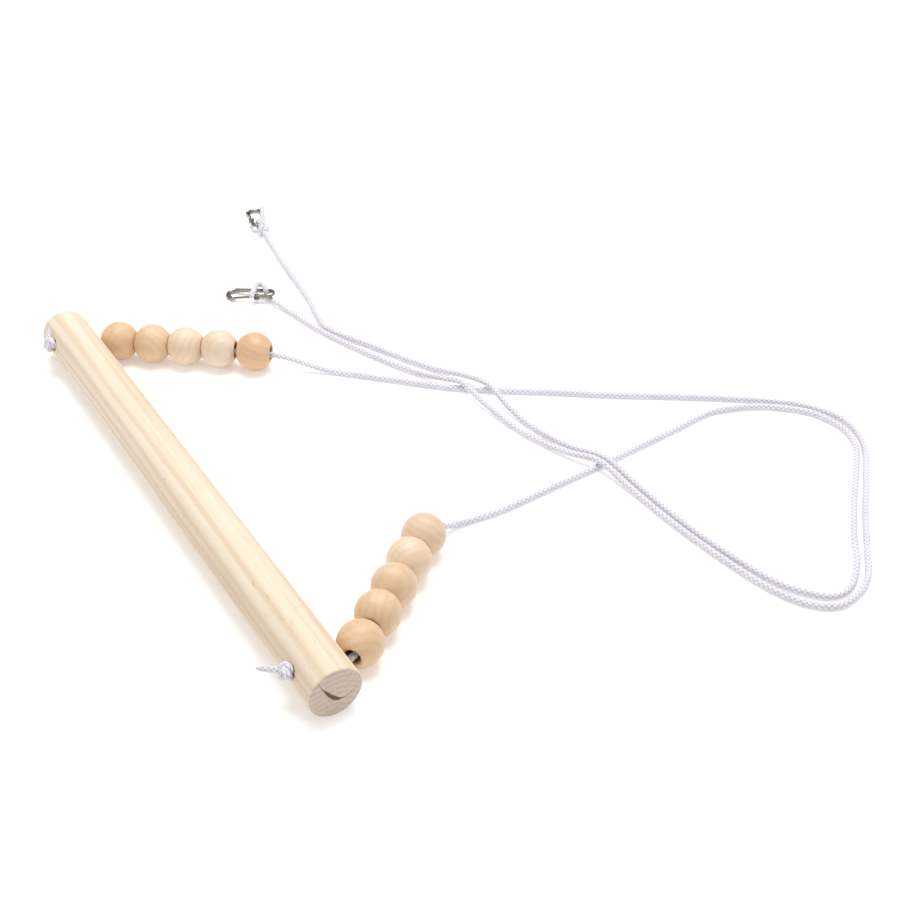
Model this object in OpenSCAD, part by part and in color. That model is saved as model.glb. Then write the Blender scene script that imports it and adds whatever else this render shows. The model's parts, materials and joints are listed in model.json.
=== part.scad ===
// Hanging trapeze bar: a round wooden bar on two braided cords, each with five
// wooden beads at the bar and a spring snap hook at its free end.
// Millimetres. X runs along the bar, +Z is up, the origin is the middle of the
// bar's axis. The set lies on a level surface, with its cords laid out along +Y.

/* [Bar] */
// Length of the wooden bar
bar_l = 375; // [330:5:500]
// Diameter of the wooden bar
bar_d = 30; // [26:1:36]
// Ease on the bar's two end edges
bar_ease = 1; // [0.5:0.1:2]
// Distance of each cord hole from the bar's end
hole_inset = 20.5; // [16:0.5:40]
// Diameter of the cord holes through the bar
hole_d = 6; // [5:0.1:8]
// Diameter of the countersink that the stopper knot sits in
hole_sink_d = 9; // [7.5:0.5:12]
// Tilt of the cord holes, outer mouth up
hole_tilt = 18; // [0:1:25]

/* [Beads] */
// Diameter of a bead
bead_d = 25; // [20:0.5:30]
// Length of a bead between its two flat mouths
bead_l = 21.8; // [17:0.1:28]
// Diameter of the bore through a bead
bead_bore_d = 8; // [6:0.1:10]
// Width of the ease around each mouth
bead_ease = 1.2; // [0.5:0.1:1.8]
// Number of beads on each cord
bead_count = 5; // [2:1:5]
// Gap between two beads that touch
bead_gap = 0.3; // [0.3:0.1:1]
// Wider gap where the cord shows between two beads
loose_gap = 1.6; // [0.5:0.1:4]
// Angle by which each row of beads leans inwards
row_lean = 38; // [25:1:45]
// Distance before the first bead's centre at which its row meets the hole
row_entry = 9; // [5:0.5:12]

/* [Cord] */
// Diameter of the braided cord
cord_d = 3.5; // [3:0.1:4]
// Number of sides of the cord's tube
cord_sides = 8; // [8:1:12]
// Diameter of the stopper knot outside the bar
stopper_d = 9; // [8:0.5:11]
// Diameter of the hitch knot at a hook
hitch_d = 8; // [7:0.5:9]
// Length of the right hook's cord tail, which lies along the hook
long_tail = 28; // [15:1:34]
// Length of the left hook's cord tail, which lies across the hook
cross_tail = 15; // [8:1:20]

/* [Snap hook] */
// Overall length of a snap hook
hook_l = 36; // [32:1:48]
// Diameter of the hook's round wire
wire_d = 3; // [2.8:0.1:3.4]
// Centre line radius of the hook's narrow end
narrow_r = 3.7; // [3.7:0.1:4.6]
// Centre line radius of the hook's wide end
wide_r = 5.3; // [4.8:0.1:7]
// Distance of the gate's pivot from the start of the gate side
pivot_run = 7.3; // [6.5:0.1:10]
// Diameter of the pivot lug
lug_d = 4.4; // [4.2:0.1:5]
// Width of the lug's slot, which holds the gate's eye and its spring
slot_w = 2; // [1.9:0.1:2.2]
// Diameter of the gate's pin
pin_d = 1.2; // [1:0.1:1.3]
// Diameter of the gate's rod
gate_d = 1.6; // [1.2:0.1:1.6]
// Thickness of the gate's eye
eye_t = 0.9; // [0.7:0.1:1]
// Diameter of the gate spring's wire
spring_wire = 0.3; // [0.2:0.05:0.35]
// Thickness of the nose's lip, which stops the gate
lip_t = 1.2; // [0.8:0.1:1.6]
// Length of lip that the gate's tip rests on
lip_l = 2.2; // [1.5:0.1:3.5]

/* [Hidden] */
$fn = 64;

LEFT = -1;
RIGHT = 1;
PINE = "#ead9bd";
BEECH = "#dcb98f";
WHITE = "#f2f0f3";
STEEL = "#8f8d88";

// Gap between pieces that lie against each other
rest_gap = 0.3;
// Gap around the pin where it is riveted, and in the eye that turns on it
rivet_gap = 0.02;
run_gap = 0.05;
// How much thicker the hook's wire is where it is bent
swell = 0.02;
// How far a cut runs past the face it opens
past = 1;

// The bar lies on the floor, and a cord hole crosses its axis near each end
floor_z = -bar_d / 2;
hole_x = bar_l / 2 - hole_inset;
sink = (hole_sink_d - hole_d) / 2;
function on_hole(side, out) = [side * hole_x, -out * cos(hole_tilt), out * sin(hole_tilt)];

// Rows of beads, counted from the bar; one gap in each row is wider, where the cord shows
bead_z = floor_z + bead_d / 2;
bead_pitch = bead_l + bead_gap;
first_y = sqrt(pow((bar_d + bead_d) / 2 + rest_gap, 2) - pow(bead_z, 2));
first_x = hole_x - row_entry * sin(row_lean);
function loose_after(side) = side == LEFT ? 4 : 1;
function bead_run(side, i) = (i - 1) * bead_pitch + (i > loose_after(side) ? loose_gap - bead_gap : 0);
function on_row(side, run, z) =
    [side * (first_x - run * sin(row_lean)), first_y + run * cos(row_lean), z];

// Each cord lies low in the bores, and runs straight on for a little past the last bead
cord_r = cord_d / 2;
knot_out = bar_d / 2 - hole_sink_d / 2 + (stopper_d / 2 + rest_gap) * sqrt(2);
cord_in_bead_z = bead_z - bead_bore_d / 2 + cord_r + rest_gap;
straight_run = 5;
function inner_route(side) = [
    on_hole(side, knot_out - stopper_d / 2 - rest_gap),
    on_hole(side, -bar_d / 2),
    on_row(side, past - row_entry, cord_in_bead_z + 0.5),
    on_row(side, bead_run(side, bead_count) + bead_l / 2 + straight_run, cord_in_bead_z)];

// Free run of each cord to its hook: x, y and height of the centre line. The returning
// strands lie over both outgoing ones.
left_route = [
    [-91, 118, -6.5], [-84, 127, -10.5], [-76, 136, -12.8], [-62, 151, -13.2], [-42, 172, -13.2],
    [-22, 193, -13.2], [-4, 217, -13.2], [17, 249, -13.2], [39, 280, -13.2], [60, 314, -13.2],
    [102, 373, -13.2], [116, 386, -13.2], [132, 394, -13.2], [148, 393, -13.2],
    [164, 383, -13.2], [184, 363, -13.2], [210, 336, -13.2], [233, 313, -13.2], [250, 296, -13.2],
    [259, 281, -13.2], [259, 265, -13.2], [249, 252, -13.2], [230, 242, -13.2], [194, 236, -13.2],
    [156, 234, -13.2], [118, 232, -11.8], [96, 228, -9.3], [74, 218, -11.8], [42, 209, -13],
    [8, 204, -11.3], [-15, 201, -9.3], [-38, 190, -11.8], [-66, 177, -13.2], [-122, 156, -13.2],
    [-148, 149, -12.6]];
right_route = [
    [96, 116, -6.5], [97, 123, -9.5], [99, 133, -12.4], [100, 150, -13.2], [98, 172, -13.2],
    [96, 200, -13.2], [95, 227, -13.2], [93, 260, -13.2], [90, 292, -13.2], [88, 321, -13.2],
    [90, 340, -13.2], [98, 357, -13.2], [111, 373, -13.2], [126, 384, -13.2], [142, 387, -13.2],
    [156, 381, -13.2], [170, 367, -13.2], [198, 337, -13.2], [222, 315, -13.2], [242, 297, -13.2],
    [252, 284, -13.2], [251, 270, -13.2], [242, 260, -13.2], [220, 249, -13.2], [184, 242, -13.2],
    [114, 238, -11.5], [94, 233.5, -9.3], [74, 224, -11.5], [44, 218, -13],
    [14, 216, -11], [-5, 214, -9.3], [-30, 206, -11.5], [-56, 190, -13.2], [-92, 174, -13.2],
    [-126, 161, -13.2], [-146, 163, -13.2], [-240, 178, -12.6]];

// Snap hook in its own frame: the narrow end's centre is the origin, the wide end lies
// along +X and the gate is on the +Y side. The side frame runs along the gate side.
wire_r = wire_d / 2;
gate_r = gate_d / 2;
wide_x = hook_l - narrow_r - wide_r - wire_d;
flare = asin((wide_r - narrow_r) / wide_x);
side_l = wide_x * cos(flare);
tip_run = side_l + 0.5;
nose_a = acos((tip_run - side_l + rest_gap + wire_r) / wide_r);
lug_h = wire_d + 0.2;
eye_d = lug_d - 0.4;
eye_low = -(slot_w / 2 - 0.2);
spring_r = pin_d / 2 + spring_wire / 2 + 0.25;

// The cord's loop around the narrow end lifts it off the floor; the wide end rests there
loop_r = wire_r + rest_gap + cord_r;
lift = loop_r + cord_r + 0.2;
tip_down = asin((lift - wire_r - swell) / (wide_x + wide_r));
hitch_reach = narrow_r + wire_r + rest_gap + hitch_d / 2;
function hook_at(side) = side == LEFT ? [-178.5, 143, floor_z + lift] : [-275, 182, floor_z + lift];
function hook_yaw(side) = side == LEFT ? -131 : 159;
function hitch_dir(side) = side == LEFT ? 2 : 0;
function hitch_at(side) = [
    hook_at(side)[0] + hitch_reach * cos(hitch_dir(side)),
    hook_at(side)[1] + hitch_reach * sin(hitch_dir(side)),
    floor_z + hitch_d / 2 + rest_gap];

// A whole cord: inner run, free run, and its end against the hitch knot
function unit(v) = v / norm(v);
function cord_end(last, knot) = knot + unit(last - knot) * (hitch_d / 2 + rest_gap);
function whole_route(side) =
    let (free = side == LEFT ? left_route : right_route)
    concat(inner_route(side), free, [cord_end(free[len(free) - 1], hitch_at(side))]);

// Rings of cord_sides points around a route, square to it
function tangent(p, i) = unit(
    (i > 0 ? unit(p[i] - p[i - 1]) : [0, 0, 0]) + (i < len(p) - 1 ? unit(p[i + 1] - p[i]) : [0, 0, 0]));
function ring(centre, along, r) =
    let (across = unit(cross(along, [0, 0, 1])), up = cross(across, along))
    [for (k = [0 : cord_sides - 1]) let (a = 360 * k / cord_sides)
        centre + r * (cos(a) * across + sin(a) * up)];

module sweep(p, r) {
    last = len(p) - 1;
    m = cord_sides;
    rings = [for (i = [0 : last]) each ring(p[i], tangent(p, i), r)];
    sides = [for (i = [0 : last - 1], k = [0 : m - 1])
        let (a = i * m + k, b = i * m + (k + 1) % m) each [[a, a + m, b], [b, a + m, b + m]]];
    start = [for (k = [0 : m - 1]) k];
    finish = [for (k = [m - 1 : -1 : 0]) last * m + k];
    polyhedron(points = rings, faces = concat(sides, [start, finish]), convexity = 10);
}

// Round rod between two points, which may taper
module rod(from, to, r1, r2) {
    v = to - from;
    translate(from) rotate([0, acos(v[2] / norm(v)), atan2(v[1], v[0])])
        cylinder(h = norm(v), r1 = r1, r2 = r2, $fn = 32);
}

module bar() {
    color(PINE) difference() {
        rotate([0, 90, 0]) rotate_extrude() polygon([
            [0, -bar_l / 2], [bar_d / 2 - bar_ease, -bar_l / 2], [bar_d / 2, bar_ease - bar_l / 2],
            [bar_d / 2, bar_l / 2 - bar_ease], [bar_d / 2 - bar_ease, bar_l / 2], [0, bar_l / 2]]);
        for (side = [LEFT, RIGHT]) translate([side * hole_x, 0, 0]) rotate([90 - hole_tilt, 0, 0]) {
            cylinder(h = bar_d + 2 * past, d = hole_d, center = true);
            translate([0, 0, bar_d / 2 - sink])
                cylinder(h = sink + past, r1 = hole_d / 2, r2 = hole_d / 2 + sink + past);
        }
    }
}

module bead(side, i) {
    color(BEECH) translate(on_row(side, bead_run(side, i), bead_z)) rotate([-90, 0, side * row_lean])
        difference() {
            intersection() {
                sphere(d = bead_d);
                cylinder(h = bead_l, d = bead_d + past, center = true);
            }
            cylinder(h = bead_d, d = bead_bore_d, center = true);
            for (end = [0, 1]) mirror([0, 0, end]) translate([0, 0, bead_l / 2 - bead_ease])
                cylinder(h = bead_ease + past, r1 = bead_bore_d / 2, r2 = bead_bore_d / 2 + bead_ease + past);
        }
}

// Knot that stops the cord outside the bar, with its melted tail: the right tail points
// away from the bar, and the left one lies up along it
module stopper_knot(side) {
    knot = on_hole(side, knot_out);
    tip = knot + (side == RIGHT ? [-12, -10, -3] : [-7, 3.2, 8]);
    color(WHITE) union() {
        translate(knot) sphere(d = stopper_d);
        rod(knot, tip, cord_r, cord_r / 2);
    }
}

module cord(side) {
    color(WHITE) sweep(whole_route(side), cord_r);
}

module place_hook(side) {
    translate(hook_at(side)) rotate([0, 0, hook_yaw(side)]) rotate([0, tip_down, 0]) children();
}

module on_side(run) {
    rotate([0, 0, flare]) translate([run, narrow_r, 0]) children();
}

// Knot around the hook's narrow end: its core, the loop through the hook and the tail,
// which on the right lies along the hook's back and on the left across the hook
module hitch_knot(side) {
    tail_z = loop_r + 0.7;
    color(WHITE) union() {
        translate(hitch_at(side)) sphere(d = hitch_d);
        place_hook(side) {
            rotate([0, 0, hitch_dir(side) - hook_yaw(side)]) translate([narrow_r, 0, 0])
                rotate([90, 0, 0]) rotate_extrude() translate([loop_r, 0]) circle(r = cord_r, $fn = 32);
            if (side == RIGHT) rod([-2, -narrow_r, tail_z], [long_tail - 2, -wide_r, loop_r], cord_r, cord_r);
            else rod([-4, -2, tail_z], [cross_tail - 6, cross_tail * 0.6, tail_z], cord_r, cord_r);
        }
    }
}

// A bend of the hook's round wire at radius r, from angle a0 to a1
module bend(r, a0, a1) {
    rotate([0, 0, a0]) rotate_extrude(angle = a1 - a0) translate([r, 0]) circle(r = wire_r + swell);
}

// A straight of the hook's wire along its gate side, which runs a hair into the bends
module straight(length) {
    joint = 0.2;
    on_side(-joint) rotate([0, 90, 0]) cylinder(h = length + 2 * joint, r = wire_r);
}

// Bent wire: narrow end, back, wide end, nose with its lip, and the slotted pivot lug
module hook_body(side) {
    lip_w = wire_d - 0.4;
    color(STEEL) place_hook(side) difference() {
        union() {
            bend(narrow_r, 90 + flare, 270 - flare);
            mirror([0, 1, 0]) straight(side_l);
            translate([wide_x, 0, 0]) {
                bend(wide_r, -90 - flare, nose_a);
                rotate([0, 0, nose_a]) translate([wide_r, 0, 0]) sphere(r = wire_r);
            }
            straight(pivot_run);
            on_side(pivot_run) cylinder(h = lug_h, d = lug_d, center = true);
            on_side(tip_run + rest_gap) translate([0, 0, -lip_w / 2])
                cube([wire_r, gate_r + rest_gap + lip_t, lip_w]);
            on_side(tip_run - lip_l) translate([0, gate_r + rest_gap, -lip_w / 2])
                cube([lip_l + rest_gap + wire_r, lip_t, lip_w]);
        }
        on_side(pivot_run) {
            cylinder(h = lug_h + past, d = pin_d + 2 * rivet_gap, center = true);
            cylinder(h = slot_w, d = lug_d + 2 * rest_gap, center = true);
        }
    }
}

// Spring gate: a rod with a flat eye, which turns on the pin and rests behind the lip
module hook_gate(side) {
    color(STEEL) place_hook(side) on_side(pivot_run) difference() {
        union() {
            translate([0, 0, eye_low]) cylinder(h = eye_t, d = eye_d);
            translate([eye_d / 2 - 0.5, 0, 0]) rotate([0, 90, 0])
                cylinder(h = tip_run - pivot_run - eye_d / 2 + 0.5, r = gate_r, $fn = 32);
        }
        cylinder(h = lug_h, d = pin_d + 2 * run_gap, center = true);
    }
}

// Rivet through the lug, with a low head on each face
module gate_pin(side) {
    head_t = 0.3;
    color(STEEL) place_hook(side) on_side(pivot_run) union() {
        cylinder(h = lug_h + 2 * rivet_gap + head_t, d = pin_d, center = true);
        for (end = [0, 1]) mirror([0, 0, end]) translate([0, 0, lug_h / 2 + rivet_gap])
            cylinder(h = head_t, d = pin_d + 0.7);
    }
}

// Two coils of spring wire around the pin, above the gate's eye
module gate_spring(side) {
    first = eye_low + eye_t + 0.1 + spring_wire / 2;
    color(STEEL) place_hook(side) on_side(pivot_run) union() {
        for (turn = [0, 1]) translate([0, 0, first + turn * spring_wire * 0.9])
            rotate_extrude() translate([spring_r, 0]) circle(d = spring_wire, $fn = 16);
    }
}

bar();
bead(LEFT, 1);  // bead_left_1
bead(LEFT, 2);  // bead_left_2
bead(LEFT, 3);  // bead_left_3
bead(LEFT, 4);  // bead_left_4
bead(LEFT, 5);  // bead_left_5
bead(RIGHT, 1);  // bead_right_1
bead(RIGHT, 2);  // bead_right_2
bead(RIGHT, 3);  // bead_right_3
bead(RIGHT, 4);  // bead_right_4
bead(RIGHT, 5);  // bead_right_5
stopper_knot(LEFT);  // stopper_knot_left
stopper_knot(RIGHT);  // stopper_knot_right
cord(LEFT);  // cord_left
cord(RIGHT);  // cord_right
hitch_knot(LEFT);  // hitch_knot_left
hitch_knot(RIGHT);  // hitch_knot_right
hook_body(LEFT);  // hook_body_left
hook_body(RIGHT);  // hook_body_right
hook_gate(LEFT);  // hook_gate_left
hook_gate(RIGHT);  // hook_gate_right
gate_pin(LEFT);  // gate_pin_left
gate_pin(RIGHT);  // gate_pin_right
gate_spring(LEFT);  // gate_spring_left
gate_spring(RIGHT);  // gate_spring_right
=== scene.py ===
import json
import bpy
import numpy as np
from mathutils import Matrix, Vector


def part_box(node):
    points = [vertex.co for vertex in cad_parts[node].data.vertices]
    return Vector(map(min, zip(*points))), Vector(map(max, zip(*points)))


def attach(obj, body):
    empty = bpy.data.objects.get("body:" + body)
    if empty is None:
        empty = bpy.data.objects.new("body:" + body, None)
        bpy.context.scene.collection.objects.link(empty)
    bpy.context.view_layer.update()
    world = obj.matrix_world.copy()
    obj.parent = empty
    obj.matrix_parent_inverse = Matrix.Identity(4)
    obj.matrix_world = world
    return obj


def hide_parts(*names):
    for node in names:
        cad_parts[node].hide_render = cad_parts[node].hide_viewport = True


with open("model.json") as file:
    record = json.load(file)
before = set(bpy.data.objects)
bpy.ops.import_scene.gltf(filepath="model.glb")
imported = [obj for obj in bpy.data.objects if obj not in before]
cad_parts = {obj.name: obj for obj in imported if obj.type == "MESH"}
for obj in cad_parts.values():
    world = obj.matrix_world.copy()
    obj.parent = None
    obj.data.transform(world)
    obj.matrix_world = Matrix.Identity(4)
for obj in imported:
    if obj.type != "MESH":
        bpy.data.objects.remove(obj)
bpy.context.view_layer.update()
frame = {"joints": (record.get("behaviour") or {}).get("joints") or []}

mm = 0.001
LEFT, RIGHT = -1, 1
SIDES = {LEFT: "left", RIGHT: "right"}

# ---------------------------------------------------------------- where it is seen from
# The set lies on a pale table, seen from above the right end of its bar. A large soft
# light hangs over it, and two smaller ones fill in from the sides.

camera_data = bpy.data.cameras.new("camera")
camera_data.lens = 56
camera_data.sensor_width = 36
camera_data.clip_start = 0.01
camera = bpy.data.objects.new("camera", camera_data)
bpy.context.scene.collection.objects.link(camera)
bpy.context.scene.camera = camera
eye = Vector((0.60357, -0.21200, 0.50025))
rightwards = Vector((0.53111, 0.84690, 0.02627))
upwards = Vector((-0.52259, 0.30301, 0.79692))
view = Matrix((rightwards, upwards, rightwards.cross(upwards))).transposed()
camera.matrix_world = Matrix.Translation(eye) @ view.to_4x4()


# ---------------------------------------------------------------- the two cords
# Each is about 1.16 m of white eight-strand braid, 4 mm thick. It starts at a stopper
# knot outside the bar, runs through the bar and five beads, lies loose on the table
# and ends at the knot on its snap hook.

cord_d = 4 * mm
floor_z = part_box("bar")[0].z
rib = 1.6 * mm
cord_step = 0.4 * mm


def unit(v):
    return v / np.linalg.norm(v, axis=-1, keepdims=True)


def even_line(points, step):
    """A smooth line through the points, cut into even steps."""
    p = np.array(points, float)
    p = np.vstack([2 * p[0] - p[1], p, 2 * p[-1] - p[-2]])
    line = []
    for a, b, c, d in zip(p, p[1:], p[2:], p[3:]):
        t1 = np.linalg.norm(b - a) ** 0.5
        t2 = t1 + np.linalg.norm(c - b) ** 0.5
        t3 = t2 + np.linalg.norm(d - c) ** 0.5
        t = np.linspace(t1, t2, 32, endpoint=False)[:, None]
        ab = (t1 - t) / t1 * a + t / t1 * b
        bc = (t2 - t) / (t2 - t1) * b + (t - t1) / (t2 - t1) * c
        cd = (t3 - t) / (t3 - t2) * c + (t - t2) / (t3 - t2) * d
        line.append((t2 - t) / (t2 - t1) * ((t2 - t) / t2 * ab + t / t2 * bc)
                    + (t - t1) / (t2 - t1) * ((t3 - t) / (t3 - t1) * bc + (t - t1) / (t3 - t1) * cd))
    line = np.vstack(line + [p[-2:-1]])
    gone = np.r_[0, np.cumsum(np.linalg.norm(np.diff(line, axis=0), axis=1))]
    at = np.linspace(0, gone[-1], round(gone[-1] / step) + 1)
    return np.stack([np.interp(at, gone, line[:, k]) for k in range(3)], 1)


def add_object(name, mesh):
    obj = bpy.data.objects.new(name, mesh)
    bpy.context.scene.collection.objects.link(obj)
    return obj


def tube(name, line, radius, sides):
    """A closed tube around an even line. Its radius is one number, or one for each
    step and side. It carries how far along and how far around each corner lies."""
    ahead = unit(np.gradient(line, axis=0))
    across = np.empty_like(line)
    across[0] = unit(np.cross(ahead[0], [0.1, 0.2, 1]))
    for i in range(1, len(line)):
        across[i] = unit(across[i - 1] - across[i - 1] @ ahead[i] * ahead[i])
    above = np.cross(across, ahead)
    turn = np.arange(sides) / sides * 2 * np.pi
    out = np.cos(turn)[:, None] * across[:, None] + np.sin(turn)[:, None] * above[:, None]
    skin = line[:, None] + out * np.broadcast_to(radius, (len(line), sides))[..., None]
    last = len(line) - 1
    i, k = (g.ravel() for g in np.meshgrid(np.arange(last), np.arange(sides), indexing="ij"))
    n = (k + 1) % sides
    quads = np.stack([i * sides + k, i * sides + n, (i + 1) * sides + n, (i + 1) * sides + k], 1)
    start, end = last * sides + sides, last * sides + sides + 1
    fans = [(start, (q + 1) % sides, q) for q in range(sides)]
    fans += [(end, last * sides + q, last * sides + (q + 1) % sides) for q in range(sides)]
    mesh = bpy.data.meshes.new(name)
    bulge = 0.2 * mm
    ends = [line[:1] - ahead[:1] * bulge, line[-1:] + ahead[-1:] * bulge]
    points = np.vstack([skin.reshape(-1, 3), *ends])
    mesh.from_pydata(points.tolist(), [], quads.tolist() + fans)
    mesh.shade_smooth()
    gone = np.r_[0, np.cumsum(np.linalg.norm(np.diff(line, axis=0), axis=1))]
    rest = np.zeros(6 * sides)
    for word, value in (("along", np.stack([gone[i], gone[i], gone[i + 1], gone[i + 1]], 1)),
                        ("around", np.stack([k, k + 1, k + 1, k], 1) / sides)):
        mesh.attributes.new(word, "FLOAT", "CORNER").data.foreach_set(
            "value", np.r_[value.ravel(), rest].astype(np.float32))
    return add_object(name, mesh)


def braid(name, line, thick=cord_d, melted=0):
    """Cord as a tube with the bulges of its eight strands. The last part, if melted,
    tapers to a smooth blunt point."""
    sides = 20
    gone = np.linspace(0, len(line) * cord_step, len(line))[:, None]
    around = np.arange(sides)[None] / sides * 4
    one, other = around + gone / rib / 2, around - gone / rib / 2
    strands = np.abs(np.cos(np.pi * one) * np.cos(np.pi * other)) ** 0.6
    left_over = np.clip((gone[-1] - gone) / melted, 0, 1) if melted else np.ones_like(gone)
    groove = 0.26 * mm * (1 - strands) * left_over ** 0.5
    radius = (thick / 2 - groove) * (0.3 + 0.7 * left_over ** 0.6)
    return tube(name, line, radius, sides)


# the first four points lie in the bar and the beads, the rest on the table
inner_runs = {
    LEFT: [(-167, -12.07, 3.92), (-167, 14.27, -4.64), (-166.38, 21.38, -3.5), (-98.23, 108.61, -4.2)],
    RIGHT: [(167, -12.07, 3.92), (167, 14.27, -4.64), (166.38, 21.38, -3.5), (98.23, 108.61, -4.2)]}
free_runs = {
    LEFT: [
        (-91, 118, -6.5), (-84, 127, -10.2), (-76, 136, -12.5), (-62, 151, -12.9), (-42, 172, -12.9),
        (-22, 193, -12.9), (-4, 217, -12.9), (17, 249, -12.9), (39, 281, -12.9), (60, 314, -12.9),
        (80, 344, -12.9), (102, 373, -12.9), (116, 385, -12.9), (133, 392, -12.9), (149, 390, -12.9),
        (163, 382, -12.9), (184, 362, -12.9), (209, 336, -12.9), (233, 313, -12.9), (250, 296, -12.9),
        (257, 281, -12.9), (258, 266, -12.9), (248, 253, -12.9), (229, 244, -12.9), (193, 237, -12.9),
        (157, 233, -12.9), (118, 231, -11.8), (95, 228, -8.5), (74, 218, -11.6), (42, 208, -12.9),
        (7, 203, -10.8), (-16, 201, -8.5), (-26, 195, -9.4), (-38, 189, -12), (-64, 176, -12.9),
        (-121, 155, -12.9), (-148, 149, -12.9), (-160, 146.5, -12.8)],
    RIGHT: [
        (98.5, 113, -6.8), (99, 118, -9.8), (98, 127, -12.5), (100, 152, -12.9), (99, 173, -12.9),
        (97, 200, -12.9), (95, 228, -12.9), (92, 260, -12.9), (89, 293, -12.9), (86, 322, -12.9),
        (89, 337, -12.9), (97, 356, -12.9), (115, 377, -12.9), (126, 383, -12.9), (143, 385, -12.9),
        (157, 380, -12.9), (170, 368, -12.9), (198, 338, -12.9), (223, 313, -12.9), (238, 300, -12.9),
        (251, 281, -12.9), (251, 269, -12.9), (242, 259, -12.9), (226, 250, -12.9), (191, 242, -12.9),
        (154, 238, -12.9), (116, 236, -11.5), (94.5, 233, -8.5), (70, 223, -11.5), (38, 216, -12.8),
        (20, 214.5, -11.2), (-6, 214.5, -8.5), (-25, 209, -11), (-46, 196, -12.9), (-91, 174, -12.9),
        (-123, 160, -12.9), (-137, 161, -12.9), (-164, 167, -12.9), (-209, 173, -12.9),
        (-246, 179, -12.7)]}
joint = {j["name"]: j for j in frame["joints"]}
knot_at = {side: np.array(joint["swing_hook_" + word]["pos_m"]) for side, word in SIDES.items()}
cord_lines, cords = {}, {}
for side, word in SIDES.items():
    mouth, inside, first, last = (np.array(p) * mm for p in inner_runs[side])
    threaded = [mouth + (inside - mouth) * t for t in (0, 0.25, 0.5, 0.75, 1)]
    threaded += [first + (last - first) * t for t in np.linspace(0, 1, 10)]
    line = even_line(threaded + [np.array(p) * mm for p in free_runs[side]] + [knot_at[side]], cord_step)
    line[:, 2] = np.maximum(line[:, 2], floor_z + 0.97 * cord_d / 2)
    cord_lines[side] = line
    cords[side] = braid("cord_" + word + "_braid", line)
    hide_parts("cord_" + word)
    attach(cords[side], "bar_and_cords")


# ---------------------------------------------------------------- cord's finish
# White polyester, slightly lilac in its shade. Each strand is a flat bundle of fine
# fibres with faint patchy grey soiling, and the grooves between the strands are painted lilac grey as
# painted shade.

class Value:
    """A value in a material's node tree. Sums with it add Math nodes."""

    def __init__(self, finish, socket):
        self.finish, self.socket = finish, socket

    def maths(self, operation, first, second=0.0):
        return self.finish.node("Math", {"operation": operation}, {0: first, 1: second})

    def __add__(self, other):
        return self.maths("ADD", self, other)

    def __sub__(self, other):
        return self.maths("SUBTRACT", self, other)

    def __mul__(self, other):
        return self.maths("MULTIPLY", self, other)

    def __truediv__(self, other):
        return self.maths("DIVIDE", self, other)

    def __pow__(self, other):
        return self.maths("POWER", self, other)

    def __radd__(self, other):
        return self.maths("ADD", other, self)

    def __rsub__(self, other):
        return self.maths("SUBTRACT", other, self)

    def __abs__(self):
        return self.maths("ABSOLUTE", self)

    def cosine(self):
        return self.maths("COSINE", self)

    def rounded(self):
        return self.maths("ROUND", self)

    def above(self, level):
        return self.maths("GREATER_THAN", self, level)

    def between(self, low, high):
        """0 below low, 1 above high, and a soft step between."""
        return self.finish.node("MapRange", {"interpolation_type": "SMOOTHSTEP"}, {0: self, 1: low, 2: high})


class Finish:
    """A material that is built up from named nodes."""

    def __init__(self, name, **fixed):
        self.material = bpy.data.materials.new(name)
        self.material.use_nodes = True
        self.tree = self.material.node_tree
        self.surface = self.tree.nodes["Principled BSDF"]
        for socket, value in fixed.items():
            self.surface.inputs[socket.replace("_", " ")].default_value = value

    def node(self, kind, settings, sockets, result=0):
        node = self.tree.nodes.new("ShaderNode" + kind)
        for key, value in settings.items():
            if key == "stops":
                while len(node.color_ramp.elements) < len(value):
                    node.color_ramp.elements.new(1)
                for element, (place, colour) in zip(node.color_ramp.elements, value):
                    element.position, element.color = place, colour
            else:
                setattr(node, key, value)
        for key, value in sockets.items():
            if isinstance(value, Value):
                self.tree.links.new(value.socket, node.inputs[key])
            else:
                node.inputs[key].default_value = value
        return Value(self, node.outputs[result])

    def attribute(self, name):
        return self.node("Attribute", {"attribute_name": name}, {}, 2)

    def place(self, move=(0, 0, 0), turn=(0, 0, 0), stretch=(1, 1, 1)):
        where = self.node("TexCoord", {}, {}, 3)
        moves = {"Vector": where, "Location": move, "Rotation": turn, "Scale": stretch}
        return self.node("Mapping", {}, moves)

    def noise(self, where, scale, detail=3.0, **more):
        return self.node("TexNoise", {}, {"Vector": where, "Scale": scale, "Detail": detail, **more})

    def mix(self, amount, first, second, blend="MIX"):
        colours = {0: amount, 6: first, 7: second}
        return self.node("Mix", {"data_type": "RGBA", "blend_type": blend}, colours, 2)

    def ramp(self, amount, stops):
        return self.node("ValToRGB", {"stops": stops}, {0: amount})

    def feed(self, socket, value):
        self.tree.links.new(value.socket, self.surface.inputs[socket])

    def bump(self, height, depth):
        self.feed("Normal", self.node("Bump", {}, {"Height": height, "Distance": depth, "Strength": 1.0}))


def tint(red, green, blue):
    """A colour as a paint chart gives it, made ready for a shader."""
    return tuple(round(((c / 255 + 0.055) / 1.055) ** 2.4, 4) for c in (red, green, blue)) + (1.0,)


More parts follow.
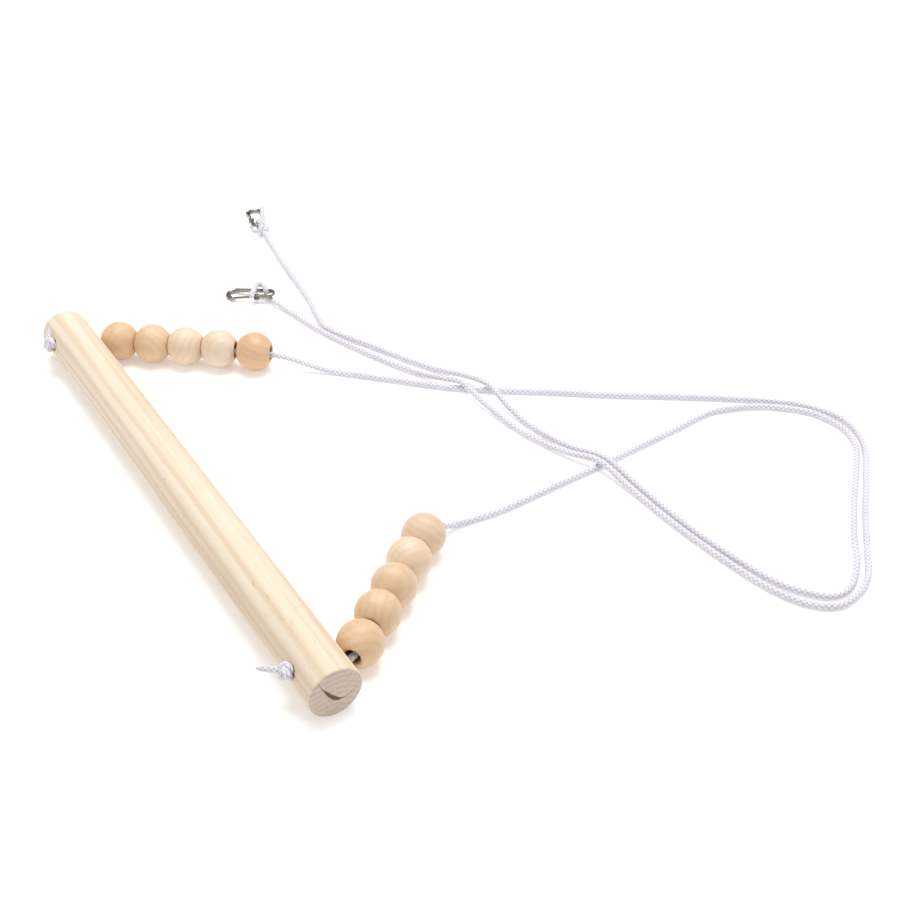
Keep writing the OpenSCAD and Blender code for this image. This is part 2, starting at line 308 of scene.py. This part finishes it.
def cord_finish():
    finish = Finish("white_braid", Roughness=0.72, Sheen_Weight=0.25, Sheen_Roughness=0.4)
    around, along = finish.attribute("around") * 4, finish.attribute("along") / (2 * rib)
    one, other = around + along, around - along
    strands = abs((one * np.pi).cosine() * (other * np.pi).cosine()) ** 0.6
    row = (one.rounded() + other.rounded()) / 2
    leaning = (abs(row - row.rounded())).above(0.25)
    fibres = leaning * (one * 44).cosine() + (1 - leaning) * (other * 44).cosine()
    fuzz = finish.noise(finish.place(), 2500, 2.0)
    soil = finish.noise(finish.place(), 45, 4.0).between(0.35, 0.75)
    white = finish.mix(soil, tint(240, 237, 243), tint(232, 229, 236))
    # painted shade: the grooves between the strands are painted a darker lilac grey
    finish.feed("Base Color", finish.mix(strands.between(0.0, 0.6), tint(188, 183, 197), white))
    finish.bump(fibres * 0.25 + fuzz * 0.6 + strands * 0.4, 0.12 * mm)
    return finish.material


white_braid = cord_finish()
for cord in cords.values():
    cord.data.materials.append(white_braid)


# ---------------------------------------------------------------- stopper knots
# Outside the bar each cord is tied in one overhand knot, pulled tight into the
# countersunk hole. Its cut end is melted to a point.

def overhand(middle, one, other, out):
    """The middle line of a tight overhand knot, wound around out."""
    turn = np.linspace(-np.pi / 6, 1.5 * np.pi, 26)[:, None]
    reach = (2.1 + 1.2 * np.cos(3 * turn)) * mm
    return (middle + reach * np.cos(2 * turn) * one + reach * np.sin(2 * turn) * other
            + 1.6 * mm * np.sin(3 * turn) * out)


tight_d = 3.8 * mm
stopper_tails = {LEFT: (-7, 3.2, 8), RIGHT: (-12, -10, -3)}
for side, word in SIDES.items():
    mouth = np.array(inner_runs[side][0]) * mm
    out = unit(mouth - np.array(inner_runs[side][1]) * mm)
    middle = mouth + out * 4.9 * mm
    beside = np.array([side, 0.0, 0.0])
    wound = overhand(middle, beside, np.cross(out, beside), out)
    tip = middle + np.array(stopper_tails[side]) * mm
    leave = wound[-1] + (tip - wound[-1]) * 0.35
    line = even_line([middle - out * 7 * mm, middle - out * 4 * mm, *wound, leave, tip], cord_step)
    knot = braid("stopper_knot_" + word + "_tied", line, tight_d, melted=7 * mm)
    knot.data.materials.append(white_braid)
    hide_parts("stopper_knot_" + word)
    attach(knot, "bar_and_cords")


# ---------------------------------------------------------------- hitch knots
# The right cord goes through its hook and is knotted around itself, with its tail along
# the hook's back. The left one turns under its hook, up through it, around its back and
# down across its gate side.

hook_centre = {LEFT: np.array([-178.5, 143, -9.5]) * mm, RIGHT: np.array([-275, 182, -9.5]) * mm}
hook_yaw = {LEFT: np.radians(-131), RIGHT: np.radians(159)}
narrow_end = {
    LEFT: [(-3.2, 2.2, -3.9), (-0.6, 0.9, -3.1), (0.9, 0, -0.6), (1.8, -1.1, 2.4), (3.8, -3.4, 4),
           (5.8, -6.3, 2.9), (7.6, -6, 3.2), (8.5, -3.4, 4.4), (8.6, 0, 4.7), (8.5, 4.4, 4.7),
           (8.6, 8, 4.1), (8.8, 11.5, 1.8)],
    RIGHT: [(-5.4, -1.7, 3.4), (-2.2, -0.7, 3.6), (0.1, 0, 0), (-2.2, -0.7, -3.6), (-5.8, -1.8, -3.2),
            (-8.2, -2.6, 0.5), (-5.2, -3.2, 4.2), (1, -4, 4.6), (9, -4.5, 4.4), (14, -4.9, 4.2),
            (18.5, -5.1, 3.9)]}
up = np.array([0, 0, 1.0])
for side, word in SIDES.items():
    hook_x = np.array([np.cos(hook_yaw[side]), np.sin(hook_yaw[side]), 0])
    hook_y = np.cross(up, hook_x)
    centre = knot_at[side]
    around = [hook_centre[side] + (hook_x * x + hook_y * y + up * z) * mm for x, y, z in narrow_end[side]]
    back = unit(cord_lines[side][-12] - centre)
    start = [centre + back * 5 * mm, centre + back * 2 * mm]
    if side == RIGHT:
        across = np.cross(up, back)
        start += list(overhand(centre, across, up, back))
    line = even_line(start + around, cord_step)
    line[:, 2] = np.maximum(line[:, 2], floor_z + 1.85 * mm)
    knot = braid("hitch_knot_" + word + "_tied", line, tight_d, melted=1.6 * mm)
    knot.data.materials.append(white_braid)
    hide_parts("hitch_knot_" + word)
    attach(knot, "hook_" + word)


# ---------------------------------------------------------------- wooden bar
# A 30 mm pine dowel, sanded, with its end edges eased by hand. Two tilted holes cross
# it near its ends, and the outer mouths are countersunk for the stopper knots.

def fillet(profile, radius):
    """A profile whose inner corners are rounded."""
    p = [np.array(q, float) for q in profile]
    done = [p[0]]
    for a, b, c in zip(p, p[1:], p[2:]):
        one, other = unit(a - b), unit(c - b)
        cut = min(radius, 0.45 * np.linalg.norm(a - b), 0.45 * np.linalg.norm(c - b))
        for t in np.linspace(0, 1, 5):
            done.append(b + one * cut * (1 - t) ** 2 + other * cut * t ** 2)
    return done + [p[-1]]


def turned(name, profile, centre, axis, sides=128):
    """A piece turned on a lathe: its profile is (radius, place along the axis)."""
    centre, axis = np.array(centre, float), unit(np.array(axis, float))
    across = unit(np.cross(axis, [0.3, 0.1, 1.0]))
    above = np.cross(axis, across)
    turn = np.arange(sides) / sides * 2 * np.pi
    out = np.cos(turn)[:, None] * across + np.sin(turn)[:, None] * above
    points, rows = [], []
    for r, h in profile:
        if r < 1e-9:
            rows.append([len(points)] * sides)
            points.append(centre + axis * h)
        else:
            rows.append(list(range(len(points), len(points) + sides)))
            points += list(centre + axis * h + out * r)
    faces = []
    for low, high in zip(rows, rows[1:]):
        for k in range(sides):
            n = (k + 1) % sides
            corners = [low[k], low[n], high[n], high[k]]
            faces.append(list(dict.fromkeys(corners)))
    mesh = bpy.data.meshes.new(name)
    mesh.from_pydata([tuple(p) for p in points], [], faces)
    mesh.shade_smooth()
    return add_object(name, mesh)


def finished(obj):
    """The object with its modifiers made final."""
    bpy.context.view_layer.update()
    mesh = bpy.data.meshes.new_from_object(obj.evaluated_get(bpy.context.evaluated_depsgraph_get()))
    obj.modifiers.clear()
    obj.data = mesh
    return obj


bar_half, bar_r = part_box("bar")[1].x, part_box("bar")[1].z
steps = np.linspace(-bar_half + 4 * mm, bar_half - 4 * mm, 60)
bar_profile = fillet([(0, -bar_half), (bar_r * 0.5, -bar_half), (bar_r - 1 * mm, -bar_half),
                      (bar_r, 1.1 * mm - bar_half), (bar_r, 4 * mm - bar_half)], 0.8 * mm)
bar_profile += [(bar_r, h) for h in steps[1:-1]]
bar_profile += [(r, -h) for r, h in reversed(bar_profile[:-len(steps) + 2])]
bar = turned("wooden_bar", bar_profile, (0, 0, 0), (1, 0, 0), 160)
for side in SIDES:
    inner, outer = (np.array(inner_runs[side][k]) * mm for k in (1, 0))
    out = unit(outer - inner)
    middle = np.array([inner[0], 0, 0])
    drill = turned("drill", [(0, -20 * mm), (3 * mm, -20 * mm), (3 * mm, 13.2 * mm), (4.6 * mm, 15.1 * mm),
                             (6.5 * mm, 17 * mm), (0, 17 * mm)], middle, out, 64)
    cut = bar.modifiers.new("hole", "BOOLEAN")
    cut.operation, cut.solver, cut.object = "DIFFERENCE", "EXACT", drill
    finished(bar)
    bpy.data.objects.remove(drill)
bar.data.set_sharp_from_angle(angle=np.radians(40))
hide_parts("bar")
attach(bar, "bar_and_cords")


def pine_finish():
    finish = Finish("pine", Roughness=0.55, Specular_IOR_Level=0.35)
    along, across, height = (finish.node("SeparateXYZ", {}, {0: finish.place()}, k) for k in range(3))
    # growth rings: slightly wavy sheets around a heart that lies below and beside the bar
    sway = finish.noise(finish.place(stretch=(4, 60, 60)), 1.0, 2.0) - 0.5
    from_heart = ((across + 0.004) ** 2.0 + (height + 0.0235) ** 2.0) ** 0.5 + sway * 0.005
    rings = (from_heart * (2 * np.pi / 0.0034)).cosine() * 0.5 + 0.5
    late = rings.between(0.3, 1.0)
    fibres = finish.noise(finish.place(stretch=(18, 1500, 1500)), 1.0, 4.0)
    streaks = finish.noise(finish.place(stretch=(4, 240, 240)), 1.0, 3.0)
    broad = finish.noise(finish.place(stretch=(3, 70, 70)), 1.0, 2.0)
    pale = finish.mix(broad.between(0.3, 0.7), tint(238, 224, 205), tint(229, 210, 186))
    colour = finish.mix(late * 0.45, pale, tint(212, 184, 150))
    colour = finish.mix(streaks.between(0.5, 0.8) * 0.6, colour, tint(206, 174, 136))
    colour = finish.mix(fibres.between(0.6, 0.78) * 0.25, colour, tint(204, 172, 136))
    flecks = finish.noise(finish.place(stretch=(160, 1500, 1500)), 1.0, 1.0)
    colour = finish.mix(flecks.between(0.74, 0.78) * 0.6, colour, tint(150, 114, 80))
    # sawn ends: greyer, with faint rings and open pores, and a dark curved check on the right
    end = abs(along).between(bar_half - 0.9 * mm, bar_half - 0.3 * mm)
    pores = finish.noise(finish.place(), 2600, 3.0)
    grey = finish.mix(pores.between(0.35, 0.7), tint(198, 180, 164), tint(224, 208, 194))
    grey = finish.mix(rings.between(0.3, 1.0) * 0.25, grey, tint(170, 146, 124))
    rough = finish.noise(finish.place(), 900, 3.0) - 0.5
    bow = height + 0.0045 - ((across - 0.004) ** 2.0) * 89 + rough * 0.0008
    bow = abs(bow) / (1 + abs(across - 0.004) * 110)
    lens = (1 - ((across + 0.0018) / 0.0062) ** 2.0) * along.above(0)
    gape = lens.between(0, 1.4) * 0.0013 + 0.00005
    check = (1 - (bow / gape).between(0.6, 1.3)) * lens.between(0.0, 0.15)
    seam = (1 - bow.between(0.0001, 0.0004)) * (1 - abs(across).between(0.009, 0.013)) * along.above(0)
    grey = finish.mix(seam * 0.45, grey, tint(130, 102, 80))
    grey = finish.mix(check * 0.92, grey, tint(98, 64, 48))
    finish.feed("Base Color", finish.mix(end, colour, grey))
    finish.feed("Roughness", 0.5 + fibres * 0.15 + end * 0.2)
    finish.bump(fibres * 0.4 + late * 0.15 + pores * end * 1.0 - check * 3, 0.12 * mm)
    return finish.material


bar.data.materials.clear()
bar.data.materials.append(pine_finish())


# ---------------------------------------------------------------- beads
# Ten 25 mm beads of plain hardwood, turned, tumbled smooth and left unvarnished.
# Each is bored through, with an eased mouth, and no two have the same tone.

bead_tones = {
    (LEFT, 1): (222, 186, 148), (LEFT, 2): (223, 190, 152), (LEFT, 3): (230, 205, 176),
    (LEFT, 4): (229, 206, 180), (LEFT, 5): (221, 183, 142), (RIGHT, 1): (222, 188, 150),
    (RIGHT, 2): (222, 190, 154), (RIGHT, 3): (222, 190, 156), (RIGHT, 4): (229, 203, 172),
    (RIGHT, 5): (222, 194, 164)}
bead_r, bore_r, mouth_h = 12.5 * mm, 4 * mm, 10.9 * mm


def shade(tone, *share):
    """A darker tone that keeps a share of its red, green and blue."""
    return tint(*(c * k for c, k in zip(tone, share)))


def bead_finish(name, tone, number):
    finish = Finish(name, Roughness=0.45, Specular_IOR_Level=0.4, Coat_Weight=0.06, Coat_Roughness=0.35)
    turn = (0.7 * number, 1.9 * number, 0.4 + 1.3 * number)
    shift = (0.013 * number, 0.029 * number, 0.017 * number)
    wavy = finish.noise(finish.place(shift, turn), 70, 2.0) - 0.5
    sheets = finish.node("SeparateXYZ", {}, {0: finish.place(shift, turn)}, 2) + wavy * 0.006
    rings = (sheets * (2 * np.pi / 0.0042)).cosine() * 0.5 + 0.5
    fibres = finish.noise(finish.place(shift, turn, (90, 1300, 1300)), 1.0, 4.0)
    pores = finish.noise(finish.place(shift, turn, (260, 2600, 2600)), 1.0, 2.0)
    cloud = finish.noise(finish.place(shift, turn), 60, 3.0)
    deep = shade(tone, 0.93, 0.88, 0.82)
    light = tint(*(min(250, c * k) for c, k in zip(tone, (1.03, 1.05, 1.09))))
    colour = finish.mix(cloud.between(0.3, 0.7), tint(*tone), light)
    colour = finish.mix(rings.between(0.2, 1.0) * 0.2, colour, deep)
    colour = finish.mix(fibres.between(0.45, 0.8) * 0.35, colour, deep)
    colour = finish.mix(pores.between(0.68, 0.76) * 0.4, colour, shade(tone, 0.76, 0.67, 0.58))
    inside = 1 - finish.attribute("outside").between(0.2, 0.9)
    # painted shade: the bore and the inner edge of its mouth are painted a much darker brown
    colour = finish.mix(inside * 0.8, colour, shade(tone, 0.5, 0.38, 0.28))
    finish.feed("Base Color", colour)
    finish.feed("Roughness", 0.4 + fibres * 0.15 + inside * 0.25)
    finish.bump(fibres * 0.6 + rings * 0.15 - pores.between(0.66, 0.74) * 0.5, 0.07 * mm)
    return finish.material


bead_skin = [(bead_r * np.cos(a), bead_r * np.sin(a)) for a in np.radians(np.linspace(-58, 58, 41))]
bead_profile = [(bore_r, h * mm) for h in (9.2, 6, 2, -2, -6, -9.2)]
bead_profile += fillet([(bore_r, -9.4 * mm), (bore_r, -9.7 * mm), (bore_r + 1.2 * mm, -mouth_h),
                        (6.1 * mm, -mouth_h), bead_skin[0]], 0.5 * mm)[1:]
bead_profile += bead_skin[1:-1]
bead_profile += fillet([bead_skin[-1], (6.1 * mm, mouth_h), (bore_r + 1.2 * mm, mouth_h),
                        (bore_r, 9.7 * mm), (bore_r, 9.4 * mm)], 0.5 * mm)[:-1]
bead_profile.append((bore_r, 9.2 * mm))
for (side, number), tone in bead_tones.items():
    name = f"bead_{SIDES[side]}_{number}"
    low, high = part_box(name)
    middle = np.array((low + high) / 2)
    axis = unit(np.array(joint["spin_" + name]["axis"]))
    bead = turned(name + "_turned", bead_profile, middle, axis, 96)
    outside = np.array([np.linalg.norm(np.cross(np.array(v.co) - middle, axis)) for v in bead.data.vertices])
    bead.data.attributes.new("outside", "FLOAT", "POINT").data.foreach_set(
        "value", np.clip((outside - bore_r) / (1.4 * mm), 0, 1).astype(np.float32))
    bead.data.materials.append(bead_finish(name + "_wood", tone, number + 5 * (side == RIGHT)))
    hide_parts(name)
    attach(bead, name)


# ---------------------------------------------------------------- snap hooks
# Each is a pear of 3 mm steel wire with forged lugs for its gate and a catch on the
# outside of its nose. The blank is tumbled bright and plated before the gate goes in.

hook_l, wire_d, narrow_r, wide_r = 36 * mm, 3 * mm, 3.7 * mm, 5.3 * mm
pivot_run, pin_d = 7.3 * mm, 1.2 * mm
wire_r = wire_d / 2
wide_x = hook_l - narrow_r - wide_r - wire_d
flare = np.arcsin((wide_r - narrow_r) / wide_x)
side_l = wide_x * np.cos(flare)
tip_run = side_l + 0.5 * mm
gate_r = 0.8 * mm


def hook_frame(side):
    """The hook's own frame: its narrow end is the origin and its gate is on +Y."""
    tall = Vector(joint["open_gate_" + SIDES[side]]["axis"])
    sideways = tall.cross(Vector((np.cos(hook_yaw[side]), np.sin(hook_yaw[side]), 0))).normalized()
    turn = Matrix((sideways.cross(tall), sideways, tall)).transposed()
    return Matrix.Translation(Vector(hook_centre[side])) @ turn.to_4x4()


def gate_side(run, out=0.0, tall=0.0):
    """A point of the gate side: how far along it, and how far outside its middle."""
    c, s = np.cos(flare), np.sin(flare)
    return np.array([run * c - (narrow_r + out) * s, run * s + (narrow_r + out) * c, tall])


def arc(centre_x, r, start, end, count=28):
    a = np.radians(np.linspace(start, end, count))
    return np.stack([centre_x + r * np.cos(a), r * np.sin(a), 0 * a], 1)


def block(name, corner_runs, outs, talls):
    """A plain block on the gate side, between two runs, two distances out and two heights."""
    points = [gate_side(r, o, t) for r in corner_runs for o in outs for t in talls]
    mesh = bpy.data.meshes.new(name)
    walls = [(0, 1, 3, 2), (4, 6, 7, 5), (0, 4, 5, 1), (2, 3, 7, 6), (0, 2, 6, 4), (1, 5, 7, 3)]
    mesh.from_pydata([tuple(p) for p in points], [], walls)
    return add_object(name, mesh)


def forged(name, pieces, grain, rubs):
    """Overlapping pieces made into one blank, and tumbled until its edges are soft."""
    points, faces = [], []
    for piece in pieces:
        start = len(points)
        points += [tuple(v.co) for v in piece.data.vertices]
        faces += [tuple(start + i for i in f.vertices) for f in piece.data.polygons]
        bpy.data.objects.remove(piece)
    mesh = bpy.data.meshes.new(name)
    mesh.from_pydata(points, [], faces)
    blank = add_object(name, mesh)
    melt = blank.modifiers.new("melt", "REMESH")
    melt.mode, melt.voxel_size = "VOXEL", grain
    rub = blank.modifiers.new("rub", "SMOOTH")
    rub.factor, rub.iterations = 0.5, rubs
    finished(blank)
    blank.data.shade_smooth()
    return blank


def hook_blank(name):
    flare_deg = np.degrees(flare)
    nose = np.degrees(np.arccos((tip_run - side_l + 0.3 * mm + wire_r) / wide_r))
    gate_start = np.array([gate_side(r) for r in np.linspace(pivot_run - 1.6 * mm, 0, 12)])
    back = np.array([gate_side(r) * [1, -1, 1] for r in np.linspace(0, side_l, 30)])
    pear = np.vstack([gate_start[:-1], arc(0, narrow_r, 90 + flare_deg, 270 - flare_deg, 32), back[1:-1],
                      arc(wide_x, wide_r, -90 - flare_deg, nose, 44)])
    wire = tube("wire", even_line(pear[::2], 0.35 * mm), wire_r, 28)
    pivot = gate_side(pivot_run)
    slot_half, lug_half, lug_r = 1.0 * mm, 1.6 * mm, 2.2 * mm
    pieces = [wire]
    for face in (-1, 1):
        ear = fillet([(0, slot_half * face), (lug_r, slot_half * face), (lug_r, lug_half * face),
                      (0, lug_half * face)], 0.2 * mm)
        pieces.append(turned("ear", ear if face > 0 else ear[::-1], pivot, (0, 0, 1), 48))
        web = [gate_side(r, 0, 1.3 * mm * face) for r in np.linspace(pivot_run - 4.2 * mm, pivot_run, 9)]
        pieces.append(tube("web", np.array(web), np.linspace(0.2, 0.42, 9)[:, None] * mm, 12))
    catch_out, tall = 2.0 * mm, (-1.2 * mm, 1.2 * mm)
    pieces.append(block("stop", (tip_run + 0.3 * mm, tip_run + 1.6 * mm), (-0.6 * mm, catch_out), tall))
    pieces.append(block("lip", (tip_run - 2.2 * mm, tip_run + 1.4 * mm), (1.1 * mm, catch_out), tall))
    return forged(name, pieces, 0.16 * mm, 5)


def hook_gate(name):
    """A rod with a flat eye at its pivot and a rounded tip behind the catch."""
    run = np.linspace(pivot_run + 1.2 * mm, tip_run - 0.1 * mm, 60)
    tip = np.clip((tip_run - run) / gate_r, 0.02, 1)
    thick = gate_r * np.sqrt(1 - (1 - tip) ** 2)
    root = np.clip((run - pivot_run - 1.2 * mm) / (3 * mm), 0, 1)
    rod = tube("rod", np.array([gate_side(r) for r in run]), (thick * (0.72 + 0.28 * root))[:, None], 24)
    bore, rim, top, low = 0.65 * mm, 2.0 * mm, 0.1 * mm, -0.8 * mm
    ring = fillet([(bore, top), (rim, top), (rim, low), (bore, low), (bore, top)], 0.12 * mm)
    eye = turned("eye", ring, gate_side(pivot_run), (0, 0, 1), 48)
    return forged(name, [rod, eye], 0.09 * mm, 3)


def coil(name):
    """The gate's spring: two and a half turns around the pin, with two short legs."""
    turn = np.linspace(0, 5 * np.pi, 60)
    middle = gate_side(pivot_run)
    wound = [middle + np.array([np.cos(a), np.sin(a), 0.28 + 0.5 * a / turn[-1]]) * mm for a in turn]
    legs = middle + np.array([[2.6, 1.0, 0.3]]) * mm, middle + np.array([[-2.6, -0.9, 0.78]]) * mm
    return tube(name, even_line(np.vstack([legs[0], wound, legs[1]]), 0.08 * mm), 0.14 * mm, 10)


def rivet(name):
    half = 1.62 * mm
    head = [(0, -half - 0.32 * mm), (0.55 * mm, -half - 0.26 * mm), (0.9 * mm, -half - 0.05 * mm),
            (0.95 * mm, -half + 0.02 * mm), (pin_d / 2, -half + 0.02 * mm), (pin_d / 2, 0)]
    profile = fillet(head, 0.08 * mm)
    profile += [(r, -h) for r, h in reversed(profile[:-1])]
    return turned(name, profile, gate_side(pivot_run), (0, 0, 1), 40)


def steel_finish(name, tone, rough, wear):
    finish = Finish(name, Metallic=1.0)
    cloud = finish.noise(finish.place(), 260, 4.0)
    rubs = finish.noise(finish.place(stretch=(300, 2600, 2600), turn=(0.3, 0.2, 0.9)), 1.0, 4.0)
    pits = finish.noise(finish.place(), 2400, 2.0)
    dull = finish.mix(cloud.between(0.35, 0.7), tint(*tone), tint(*(c * 0.88 for c in tone)))
    finish.feed("Base Color", finish.mix(pits.between(0.68, 0.78) * wear, dull, tint(92, 84, 74)))
    finish.feed("Roughness", rough + cloud * 0.14 + rubs * 0.08)
    finish.bump(rubs * 0.5 + cloud * 1.2 - pits.between(0.66, 0.8) * 0.4, 0.05 * mm)
    return finish.material


plated = steel_finish("plated_steel", (158, 154, 146), 0.14, 0.5)
gate_steel = steel_finish("gate_steel", (132, 128, 120), 0.18, 0.7)
spring_steel = steel_finish("spring_steel", (150, 146, 140), 0.25, 0.6)
for side, word in SIDES.items():
    for make, node, body, finish in (
            (hook_blank, "hook_body_", "hook_", plated), (hook_gate, "hook_gate_", "gate_", gate_steel),
            (coil, "gate_spring_", "hook_", spring_steel), (rivet, "gate_pin_", "hook_", plated)):
        piece = make(node + word + "_made")
        piece.data.transform(hook_frame(side))
        piece.data.materials.clear()
        piece.data.materials.append(finish)
        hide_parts(node + word)
        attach(piece, body + word)


# ---------------------------------------------------------------- table and lights
# A white matt table top, lit faintly from below, under a large soft light and a pale sky
# that darkens towards the horizon. Tones are shown as they are, without a film curve.

sheet = bpy.data.meshes.new("table")
corners = [(x, y, floor_z) for x, y in ((-4, -4), (4, -4), (4, 4), (-4, 4))]
sheet.from_pydata(corners, [], [(0, 1, 2, 3)])
table = add_object("table", sheet)
top = Finish("table_top", Roughness=0.9, Specular_IOR_Level=0.2, Emission_Color=(1, 1, 1, 1),
             Emission_Strength=0.22)
top.feed("Base Color", top.mix(top.noise(top.place(), 3.0, 2.0), tint(250, 250, 250), tint(246, 246, 247)))
table.data.materials.append(top.material)


def softbox(name, place, size, power, aim=(0, 0.15, 0)):
    data = bpy.data.lights.new(name, "AREA")
    data.shape, data.size, data.energy = "SQUARE", size, power
    light = bpy.data.objects.new(name, data)
    bpy.context.scene.collection.objects.link(light)
    light.location = place
    light.rotation_euler = (Vector(aim) - Vector(place)).to_track_quat("-Z", "Y").to_euler()


class Sky(Finish):
    """The light that comes from all around."""

    def __init__(self, name):
        world = bpy.data.worlds.new(name)
        world.use_nodes = True
        bpy.context.scene.world = world
        self.tree = world.node_tree
        self.surface = self.tree.nodes["Background"]


softbox("overhead", (-0.5, 0.5, 1.9), 1.4, 37)
softbox("fill", (1.2, 1.6, 1.1), 1.0, 6)
softbox("rim", (0.4, -1.6, 1.2), 0.9, 5)
sky = Sky("studio")
level = sky.node("SeparateXYZ", {}, {0: sky.node("TexCoord", {}, {}, 0)}, 2)
sky.feed("Color", sky.ramp(level, [(0.1, (0.22, 0.22, 0.23, 1)), (0.55, (1, 1, 1, 1))]))
sky.surface.inputs["Strength"].default_value = 0.52
bpy.context.scene.view_settings.view_transform = "Standard"
